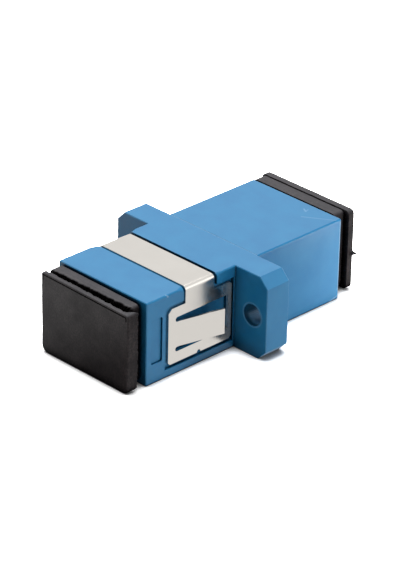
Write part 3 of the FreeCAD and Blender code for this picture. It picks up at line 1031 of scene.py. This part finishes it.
@dataclass(frozen=True)
class Lens:
    """Where the camera stands and what it looks at, in millimetres and degrees."""

    azimuth: float = 44.92
    elevation: float = 27.65
    roll: float = 1.21
    distance: float = 326.6
    target: Triple = (0.487, -0.658, -0.194)
    focal_length: float = 200.0
    sensor: float = 36.0
    clip: Span = (10.0, 10000.0)

    def make(self) -> None:
        """Puts the camera in place and makes it the scene's own."""
        across, up, tilt = (math.radians(turn) for turn in (self.azimuth, self.elevation, self.roll))
        back = Vector((math.sin(across) * math.cos(up), -math.cos(across) * math.cos(up), math.sin(up)))
        level = Vector((math.cos(across), math.sin(across), 0.0))
        upright = back.cross(level)
        right = level * math.cos(tilt) + upright * math.sin(tilt)
        camera = add_object("camera", bpy.data.cameras.new("camera"))
        camera.data.lens = self.focal_length
        camera.data.sensor_width = self.sensor
        camera.data.clip_start, camera.data.clip_end = metres(self.clip)
        turn = Matrix((right, back.cross(right), back)).transposed().to_4x4()
        camera.matrix_world = Matrix.Translation((Vector(self.target) + back * self.distance) * MM) @ turn
        bpy.context.scene.camera = camera


@dataclass(frozen=True)
class Softbox:
    """One square studio lamp, aimed at a point of the adapter. Sizes and places are in millimetres."""

    name: str
    place: Triple
    size: float
    power: float
    aim: Triple = (0.0, 0.0, 0.0)

    def make(self) -> None:
        """Hangs the lamp."""
        data = bpy.data.lights.new(self.name, "AREA")
        data.size = self.size * MM
        data.energy = self.power
        lamp = add_object(self.name, data)
        lamp.location = Vector(self.place) * MM
        lamp.rotation_mode = "QUATERNION"
        lamp.rotation_quaternion = (Vector(self.aim) - Vector(self.place)).to_track_quat("-Z", "Y")


def mirrored_ray(tree: Tree) -> Socket:
    """Adds the nodes that give 1 to a ray off gloss, metal or glass, and 0 to any other."""
    kinds = ("Is Glossy Ray", "Is Transmission Ray")
    return add_node(tree, "Math", *(add_node(tree, "LightPath", output=kind) for kind in kinds), operation="MAXIMUM")


@dataclass(frozen=True)
class PaleBoard:
    """Large pale board under the adapter, white to the camera, which keeps the adapter's shadow.

    As a source of bounced light it is dim in front and bright behind. To the camera it also carries
    a painted contact shadow where it meets the adapter.
    """

    half_mm: float = 3000.0
    light_way: Triple = (0.94, 0.34, 0.0)
    fade_mm: Span = (1.0, 13.0)
    dark: float = 0.08
    bright: float = 0.75
    beside_mm: Span = (5.5, 7.5)
    front_block_mm: Span = (-5.5, -9.5)
    rear_block_mm: Span = (4.0, 11.0)
    beside_gain: float = 1.3
    seen_gain: float = 2.6
    seen_lift: float = 0.25
    mirrored_dark: float = 0.06
    mirrored_bright: float = 0.98
    mirrored_side_mm: Span = (6.1, 7.4)
    mirrored_rear: float = 1.8
    mirrored_rear_mm: Span = (2.0, 7.5)
    mirrored_far: float = 0.1
    mirrored_far_mm: Span = (12.5, 17.0)
    mirrored_far_from_mm: Span = (-9.0, -5.0)
    mirrored_front: float = 1.45
    mirrored_front_way: Triple = (-1.0, -0.5, 0.0)
    mirrored_front_mm: Span = (9.0, 28.0)
    contact_mm: float = 1.3
    contact_power: float = 1.6
    contact_dark: float = 0.03

    def beside(self, tree: Tree) -> Socket:
        """Brightness of the board as a light source, to the right of the housing's two end blocks.

        Args:
            tree: Node tree that gets the nodes.

        Returns:
            Socket of the brightness, 0 elsewhere.
        """
        front_block, rear_block = (
            add_node(tree, "MapRange", lying(tree, REAR), *metres(span), 0.0, self.beside_gain, **SMOOTH)
            for span in (self.front_block_mm, self.rear_block_mm))
        blocks = add_node(tree, "Math", front_block, rear_block, operation="MAXIMUM")
        right = add_node(tree, "MapRange", lying(tree, RIGHT), *metres(self.beside_mm), 0.0, self.bright)
        return add_node(tree, "Math", blocks, right, operation="MULTIPLY")

    def mirror_image(self, tree: Tree) -> Socket:
        """Brightness of the board as the adapter mirrors it.

        It is bright to the adapter's right, brighter beside the rear end and dimmer farther out
        there, bright again far out in front, and dark close in front.

        Args:
            tree: Node tree that gets the nodes.

        Returns:
            Socket of the brightness.
        """
        right, diagonal, front = (lying(tree, way) for way in (RIGHT, (-1.0, 1.0, 0.0), self.mirrored_front_way))
        side = add_node(tree, "MapRange", right, *metres(self.mirrored_side_mm), self.mirrored_dark,
                        self.mirrored_bright, **SMOOTH)
        far = add_node(tree, "MapRange", right, *metres(self.mirrored_far_mm), 1.0, self.mirrored_far, **SMOOTH)
        far = add_node(tree, "MapRange", diagonal, *metres(self.mirrored_far_from_mm), 1.0, far)
        rear = add_node(tree, "MapRange", diagonal, *metres(self.mirrored_rear_mm), 1.0, self.mirrored_rear, **SMOOTH)
        for share in (far, rear):
            side = add_node(tree, "Math", side, share, operation="MULTIPLY")
        front = add_node(tree, "MapRange", front, *metres(self.mirrored_front_mm), self.mirrored_dark,
                         self.mirrored_front)
        return add_node(tree, "Math", side, front, operation="MAXIMUM")

    def material(self) -> bpy.types.Material:
        """Builds the board's finish.

        Returns:
            The finished material.
        """
        material, tree = new_material("pale_board")
        seen = add_node(tree, "LightPath", output="Is Camera Ray")
        mirrored = mirrored_ray(tree)
        across = lying(tree, self.light_way)
        shade = add_node(tree, "MapRange", across, *metres(self.fade_mm), self.dark, self.bright, **SMOOTH)
        shade = add_node(tree, "Math", shade, self.beside(tree), operation="MAXIMUM")
        gain = add_node(tree, "MapRange", mirrored, 0.0, 1.0, shade, 0.0)
        gain = add_node(tree, "MapRange", seen, 0.0, 1.0, gain, self.seen_gain)
        lift = add_node(tree, "MapRange", mirrored, 0.0, 1.0, 0.0, self.mirror_image(tree))
        lift = add_node(tree, "MapRange", seen, 0.0, 1.0, lift, self.seen_lift)
        # Painted contact shadow where the adapter is near, seen by the camera only.
        contact = add_node(tree, "AmbientOcclusion", None, self.contact_mm * MM, output="AO", samples=16)
        contact = add_node(tree, "Math", contact, self.contact_power, operation="POWER")
        contact = add_node(tree, "MapRange", contact, 0.0, 1.0, self.contact_dark, 1.0)
        contact = add_node(tree, "MapRange", seen, 0.0, 1.0, 1.0, contact)
        gain, lift = (add_node(tree, "Math", value, contact, operation="MULTIPLY") for value in (gain, lift))
        lit = add_node(tree, "BsdfDiffuse", gain)
        glow = add_node(tree, "Emission", WHITE, lift)
        add_node(tree, "OutputMaterial", add_node(tree, "AddShader", lit, glow))
        return material

    def make(self) -> None:
        """Lays the board under the adapter."""
        half, level = self.half_mm * MM, CAD_BOX[0].z
        mesh = bpy.data.meshes.new("board")
        corners = [(-half, -half, level), (half, -half, level), (half, half, level), (-half, half, level)]
        mesh.from_pydata(corners, [], [(0, 1, 2, 3)])
        mesh.materials.append(self.material())
        board = add_object("board", mesh)


@dataclass(frozen=True)
class Surroundings:
    """The room: white to the camera and in reflections, and as a light bright on one side only."""

    bright_side: Triple = (0.45, 0.75, 0.48)
    edge: Span = (-0.5, 0.5)
    ambient: float = 0.25
    dark_share: float = 0.10

    def make(self) -> None:
        """Builds the world."""
        world = bpy.data.worlds.new("surroundings")
        bpy.context.scene.world = world
        world.use_nodes = True
        tree = world.node_tree
        tree.nodes.clear()
        way = add_node(tree, "TexCoord", output="Generated")
        side = add_node(tree, "VectorMath", way, self.bright_side, operation="DOT_PRODUCT")
        light = add_node(tree, "MapRange", side, *self.edge, self.dark_share * self.ambient, self.ambient, **SMOOTH)
        for ray in (mirrored_ray(tree), add_node(tree, "LightPath", output="Is Camera Ray")):
            light = add_node(tree, "Math", light, ray, operation="MAXIMUM")
        add_node(tree, "OutputWorld", add_node(tree, "Background", WHITE, light))


@dataclass(frozen=True)
class Studio:
    """Board, surroundings, soft lamps and camera."""

    lens: Lens = Lens()
    board: PaleBoard = PaleBoard()
    surroundings: Surroundings = Surroundings()
    lamps: tuple[Softbox, ...] = (
        Softbox("key", (-50.0, 18.0, 300.0), 300.0, 1.18),
        Softbox("side", (180.0, 130.0, 60.0), 160.0, 0.05),
        Softbox("rear_fill", (22.0, 24.0, -1.0), 10.0, 0.0027, (6.4, 13.5, -2.0)),
        Softbox("left_fill", (-60.0, -30.0, 30.0), 40.0, 0.006, (-6.0, -8.0, 0.0)),
    )

    def make(self) -> None:
        """Builds the whole room."""
        self.surroundings.make()
        self.board.make()
        for lamp in self.lamps:
            lamp.make()
        self.lens.make()
        bpy.context.scene.view_settings.view_transform = "Standard"


def main() -> None:
    """Dresses the adapter piece by piece and lights it."""
    logging.basicConfig(level=logging.INFO, format="%(name)s: %(message)s")
    for part in (HousingPair(), SpringClip(), LatchHolders(), AlignmentSleeve()):
        part.make()
    rubber = SoftRubber("soft_black_rubber", "151214", "352C2D").make()
    DustCap(
        CapEnd.FRONT,
        rim=CornerBox(-6.2, 6.47, -4.65, 4.33, (0.35, 0.3, 0.8, 0.6), fall=0.2),
        band=CornerBox(-6.0, 5.7, -4.3, 4.47, (0.5, 0.5, 0.6, 0.6), fall=0.1),
        band_end=1.60,
        groove_end=2.02,
        edge_round=0.13,
        tear=0.16,
        nub=Nub(6.5, -0.5, 1.15, 0.2, 0.1),
        side_skew=(-0.5, -0.87),
        crease_depth=0.16,
    ).make(rubber)
    DustCap(
        CapEnd.REAR,
        rim=CornerBox(-6.86, 5.9, -4.5, 4.72, (0.5, 0.5, 0.8, 0.5)),
        band=CornerBox(-6.6, 5.3, -4.3, 4.66, (0.4, 0.5, 0.6, 0.6)),
        band_end=1.64,
        groove_end=1.79,
        edge_round=0.05,
        tear=0.04,
        nub=Nub(5.9, -0.35, 2.42, 0.8, 0.13),
        gap=0.24,
        rim_end=2.58,
    ).make(rubber)
    Studio().make()


if __name__ == "__main__":
    main()
